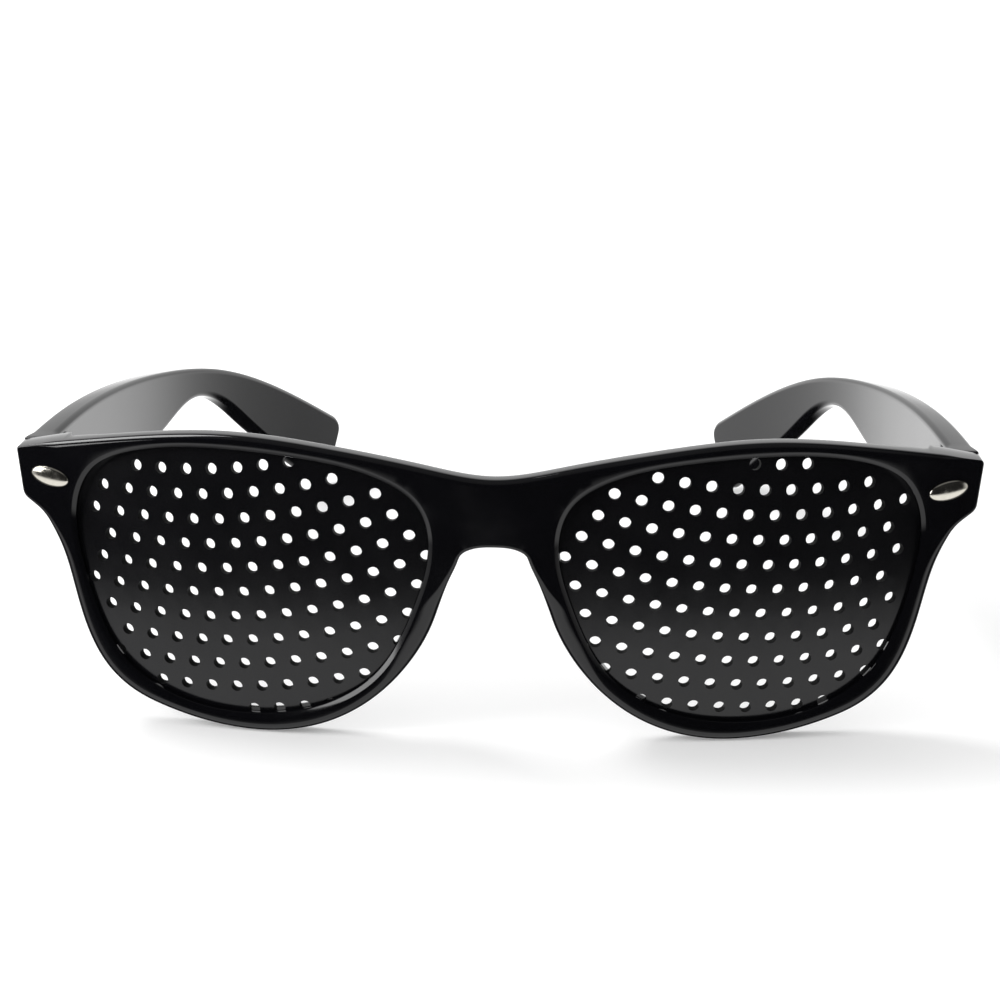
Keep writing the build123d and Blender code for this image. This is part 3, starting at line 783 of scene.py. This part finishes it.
def tongue(mesh, side):
    """The thin edge of the plate that sits in the groove: a closed ring of rectangular section."""
    half, overlap = tongue_thickness / 2, 0.05
    root = -tongue_inset - overlap
    work = bmesh.new()
    work.from_mesh(mesh)
    loops = []
    for outset, lift in ((root, half), (lens_seat, half), (lens_seat, -half), (root, -half)):
        spots = [Vector((side * u, v, sqrt(lens_radius**2 - u * u - v * v)))
                 for u, v in grown(outset)]
        loops.append([work.verts.new(s / lens_radius * (lens_radius + lift) / 1000)
                      for s in spots])
    for a, b in zip(loops, loops[1:] + loops[:1]):
        for i in range(len(a)):
            work.faces.new((a[i - 1], a[i], b[i], b[i - 1]))
    work.to_mesh(mesh)
    work.free()


def make_plate(name, side, pattern, rows):
    """Gives the outline and the rows to the node tree, and keeps the mesh that comes out."""
    edge = grown(-tongue_inset)
    points = [(side * u / 1000, v / 1000, 0) for u, v in edge] + [(0, 0, 0)] * len(rows)
    links = [(i, (i + 1) % len(edge)) for i in range(len(edge))]
    seed = bpy.data.meshes.new(name + "_seed")
    seed.from_pydata(points, links, [])
    columns = [("is_row", "BOOLEAN", False, [True] * len(rows)),
               ("row", "FLOAT", 0.0, [float(r) for r in rows]),
               ("first", "FLOAT", 0.0, [float(a) for a, _ in rows.values()]),
               ("holes", "INT", 0, [b - a + 1 for a, b in rows.values()])]
    for label, kind, default, column in columns:
        layer = seed.attributes.new(label, kind, "POINT")
        layer.data.foreach_set("value", [default] * len(edge) + column)
    seeded = bpy.data.objects.new(name + "_seed", seed)
    bpy.context.scene.collection.objects.link(seeded)
    modifier = seeded.modifiers.new("pinholes", "NODES")
    modifier.node_group = pinholes
    front_radius = lens_radius + tongue_thickness / 2
    start_u, start_v, turn = pattern
    lengths = {"Pitch": hole_pitch, "Row pitch": row_pitch, "Stagger": row_stagger,
               "Bow radius": row_bow_radius, "Apex step": row_apex_step,
               "Start u": start_u, "Start v": start_v, "Hole radius": hole_diameter / 2,
               "Ball radius": lens_radius, "Front radius": front_radius,
               "Back radius": front_radius - lens_thickness}
    settings = {label: length / 1000 for label, length in lengths.items()}
    settings |= {"Turn": radians(turn), "Side": float(side), "Material": black_plate,
                 "Wall material": drilled_wall}
    for item in pinholes.interface.items_tree:
        if item.in_out == "INPUT" and item.name in settings:
            modifier[item.identifier] = settings[item.name]
    bpy.context.view_layer.update()
    ready = seeded.evaluated_get(bpy.context.evaluated_depsgraph_get())
    mesh = bpy.data.meshes.new_from_object(ready)
    bpy.data.objects.remove(seeded)
    tongue(mesh, side)
    turned = Matrix(((cos(lens_turn), 0, side * sin(lens_turn), side * ball_x / 1000),
                     (side * sin(lens_turn), 0, -cos(lens_turn), (front_y + ball_y) / 1000),
                     (0, 1, 0, lens_z / 1000), (0, 0, 0, 1)))
    mesh.transform(turned)
    mesh.name = name
    piece = finish_mesh(mesh, name, sharp=30)
    print("materials", [m.name for m in mesh.materials])
    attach(piece, "front")
    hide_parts(f"lens_{name.split('_')[-1]}")


for name, values in patterns.items():
    make_plate(f"pinhole_plate_{name}", *values)

# %% [markdown]
# ## The studs
# Each end of the front carries a small oval of bright metal. It is stamped from sheet, so it
# has a short upright edge and a low dome. Rings that shrink towards the top give the dome, and
# the whole is set square on the bowed face with its outer end a little raised.

# %% Studs
def stud(name, side):
    """A sunk upright edge, rings that shrink up a dome, and a point that closes each end."""
    turn, tilt = asin(stud_x / bow_radius), radians(stud_tilt)
    outward = Vector((side * sin(turn), -cos(turn), 0))
    level = Vector((cos(turn), side * sin(turn), 0))
    along = level * cos(tilt) + Vector((0, 0, side * sin(tilt)))
    up = outward.cross(along)
    centre = Vector((side * stud_x, front_y + bow(stud_x), stud_z))
    angles = [pi / 2 * i / 9 for i in range(1, 9)]
    rings = [(1.0, -stud_sunk), (1.0, stud_rim)]
    rings += [(cos(a), stud_rim + stud_dome * sin(a)) for a in angles]
    count, points, faces = 64, [], []
    for share, lift in rings:
        for i in range(count):
            a = 2 * pi * i / count
            points.append(centre + along * (stud_length / 2 * share * cos(a))
                          + up * (stud_height / 2 * share * sin(a)) + outward * lift)
    for r in range(len(rings) - 1):
        faces += [(r * count + i, r * count + (i + 1) % count, (r + 1) * count + (i + 1) % count,
                   (r + 1) * count + i) for i in range(count)]
    points += [centre - outward * stud_sunk, centre + outward * (stud_rim + stud_dome)]
    last = (len(rings) - 1) * count
    faces += [(len(points) - 2, (i + 1) % count, i) for i in range(count)]
    faces += [(len(points) - 1, last + i, last + (i + 1) % count) for i in range(count)]
    mesh = bpy.data.meshes.new(name)
    mesh.from_pydata([p / 1000 for p in points], [], faces)
    piece = finish_mesh(mesh, name, sharp=50)
    mesh.materials.append(plated_brass)
    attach(piece, "front")
    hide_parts(name.replace("oval_", ""))


stud("oval_stud_right", 1)
stud("oval_stud_left", -1)

# %% [markdown]
# ## Hinges and screws
# The hinge leaves, knuckles and screws are already right in the solids. A stamped or turned
# piece never has a razor edge, so each is copied, its loose triangles are merged, and its
# edges are broken by a few hundredths of a millimetre, which is what makes small metal glint.

# %% Hinge pieces
def break_edges(name, material, body, size=0.06):
    """A copy of a solid with merged faces and narrow bevels. size is in millimetres."""
    piece = frame["nodes"][name].copy()
    piece.data = frame["nodes"][name].data.copy()
    piece.name = "finished_" + name
    piece.data.name = piece.name
    piece.data.materials.clear()
    bpy.context.scene.collection.objects.link(piece)
    work = bmesh.new()
    work.from_mesh(piece.data)
    bmesh.ops.remove_doubles(work, verts=work.verts, dist=1e-7)
    bmesh.ops.dissolve_limit(work, angle_limit=radians(1), verts=work.verts, edges=work.edges)
    work.to_mesh(piece.data)
    work.free()
    bevel = piece.modifiers.new("broken_edge", "BEVEL")
    bevel.width, bevel.segments, bevel.limit_method = size / 1000, 2, "ANGLE"
    bevel.angle_limit = radians(40)
    ready = piece.evaluated_get(bpy.context.evaluated_depsgraph_get())
    mesh = bpy.data.meshes.new_from_object(ready)
    piece.modifiers.clear()
    piece.data = mesh
    mesh.shade_smooth()
    mesh.set_sharp_from_angle(angle=radians(42))
    mesh.materials.append(material)
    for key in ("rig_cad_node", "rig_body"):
        if key in piece:
            del piece[key]
    piece.parent = None
    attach(piece, body)
    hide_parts(name)
    return piece


small = []
for side in ("right", "left"):
    small.append(break_edges(f"front_leaf_{side}", nickel_silver, "front"))
    small.append(break_edges(f"temple_leaf_{side}", nickel_silver, f"{side}_temple"))
    small.append(break_edges(f"temple_leaf_screws_{side}", turned_steel,
                             f"{side}_temple", 0.04))
    small.append(break_edges(f"hinge_screw_{side}", turned_steel, "front", 0.04))
print("small pieces", [len(p.data.polygons) for p in small])

# %% [markdown]
# ## Table and light
# The photograph is a product shot: white paper behind and below, and a dark room in front.
# Black plastic shows little but its reflections, so the world is built for them. They see a
# bright wall behind, the table's edge low in front, a dim ceiling and a soft light at both
# sides, and nearly black elsewhere. The camera sees plain white, and all else a light grey.
# The table catches the soft shadow. For the camera alone it glows a little, more with
# distance, so that it runs into the white without a line.

# %% Floor
def soft_step(tree, socket, low, high, start=0.0, end=1.0):
    """Goes softly from start to end, while the socket goes from low to high."""
    return node(tree, "ShaderNodeMapRange", {"Value": socket},
                {"interpolation_type": "SMOOTHSTEP"},
                {"From Min": low, "From Max": high,
                 "To Min": start, "To Max": end}).outputs["Result"]


floor_mesh = bpy.data.meshes.new("white_table")
reach = 4.0
corners = [(-reach, -reach, 0), (reach, -reach, 0), (reach, reach, 0), (-reach, reach, 0)]
floor_mesh.from_pydata(corners, [], [(0, 1, 2, 3)])
floor = bpy.data.objects.new("white_table", floor_mesh)
bpy.context.scene.collection.objects.link(floor)
table, tree, shader = new_material("white_table_laminate")
shader.inputs["Base Color"].default_value = linear("#f4f4f4")
shader.inputs["Roughness"].default_value = 0.9
shader.inputs["Specular IOR Level"].default_value = 0.0
place = node(tree, "ShaderNodeTexCoord").outputs["Object"]
away = node(tree, "ShaderNodeVectorMath", {0: place}, {"operation": "LENGTH"}).outputs["Value"]
near, far, glow_near, glow_far = 0.08, 0.28, 0.2, 0.6
white = soft_step(tree, away, near, far, glow_near, glow_far)
seen = node(tree, "ShaderNodeLightPath").outputs["Is Camera Ray"]
glow = maths(tree, "MULTIPLY", seen, white)
shader.inputs["Emission Color"].default_value = linear("#ffffff")
tree.links.new(glow, shader.inputs["Emission Strength"])
floor_mesh.materials.append(table)
floor.visible_glossy = False
print("floor reaches", reach, "m")

# %% World
world = bpy.data.worlds.new("studio")
bpy.context.scene.world = world
world.use_nodes = True
tree = world.node_tree
tree.nodes.clear()
direction = node(tree, "ShaderNodeSeparateXYZ",
                 {"Vector": node(tree, "ShaderNodeTexCoord").outputs["Generated"]})
side_way, depth_way, height_way = (direction.outputs[axis] for axis in "XYZ")
# the wall behind, brightest where it meets the table
behind = maths(tree, "MULTIPLY", soft_step(tree, depth_way, 0.58, 0.95),
               soft_step(tree, height_way, -0.1, 0.15, 1.7, 0.9))
# the table in front, whose edge is seen a little higher towards the sides
edge_rise = maths(tree, "MULTIPLY", maths(tree, "MULTIPLY", side_way, side_way), -0.05)
below = maths(tree, "MULTIPLY", soft_step(tree, depth_way, 0.1, -0.2),
              soft_step(tree, maths(tree, "ADD", height_way, edge_rise), -0.31, -0.44))
# a dim ceiling, soft light from both sides, and hardly anything elsewhere
above = soft_step(tree, height_way, 0.75, 0.9, end=0.15)
beside = soft_step(tree, maths(tree, "ABSOLUTE", side_way), 0.82, 0.98, end=0.5)
darkest, room_light, paper_white = 0.01, 0.62, 1.0
studio = maths(tree, "MAXIMUM", behind, below)
for light in (above, beside, darkest):
    studio = maths(tree, "MAXIMUM", studio, light)
paths = node(tree, "ShaderNodeLightPath")
level = node(tree, "ShaderNodeMix", {"Factor": paths.outputs["Is Glossy Ray"],
                                     "B": studio}, values={"A": room_light})
level = node(tree, "ShaderNodeMix", {"Factor": paths.outputs["Is Camera Ray"],
                                     "A": level.outputs["Result"]}, values={"B": paper_white})
back = node(tree, "ShaderNodeBackground", {"Strength": level.outputs["Result"]},
            values={"Color": linear("#ffffff")})
node(tree, "ShaderNodeOutputWorld", {"Surface": back.outputs["Background"]})
bpy.context.scene.view_settings.view_transform = "Standard"
print("world nodes", len(tree.nodes))

# %% Lamps
def softbox(name, place, aim, size, watts):
    """A square lamp of size metres that looks at aim."""
    data = bpy.data.lights.new(name, "AREA")
    data.shape, data.size, data.energy = "SQUARE", size, watts
    lamp = bpy.data.objects.new(name, data)
    bpy.context.scene.collection.objects.link(lamp)
    lamp.location = place
    lamp.rotation_euler = (Vector(aim) - Vector(place)).to_track_quat("-Z", "Y").to_euler()


# high at the back left: it lights the table and lays the soft shadow to the front right
softbox("key_softbox", (-0.5, 0.25, 0.8), (0, -0.02, 0.01), 0.45, 4.5)
# at the front left: the highlights on the studs and along the lower rims
softbox("window_softbox", (-0.51, -0.24, 0.245), (0, -0.06, 0.03), 0.36, 2.1)
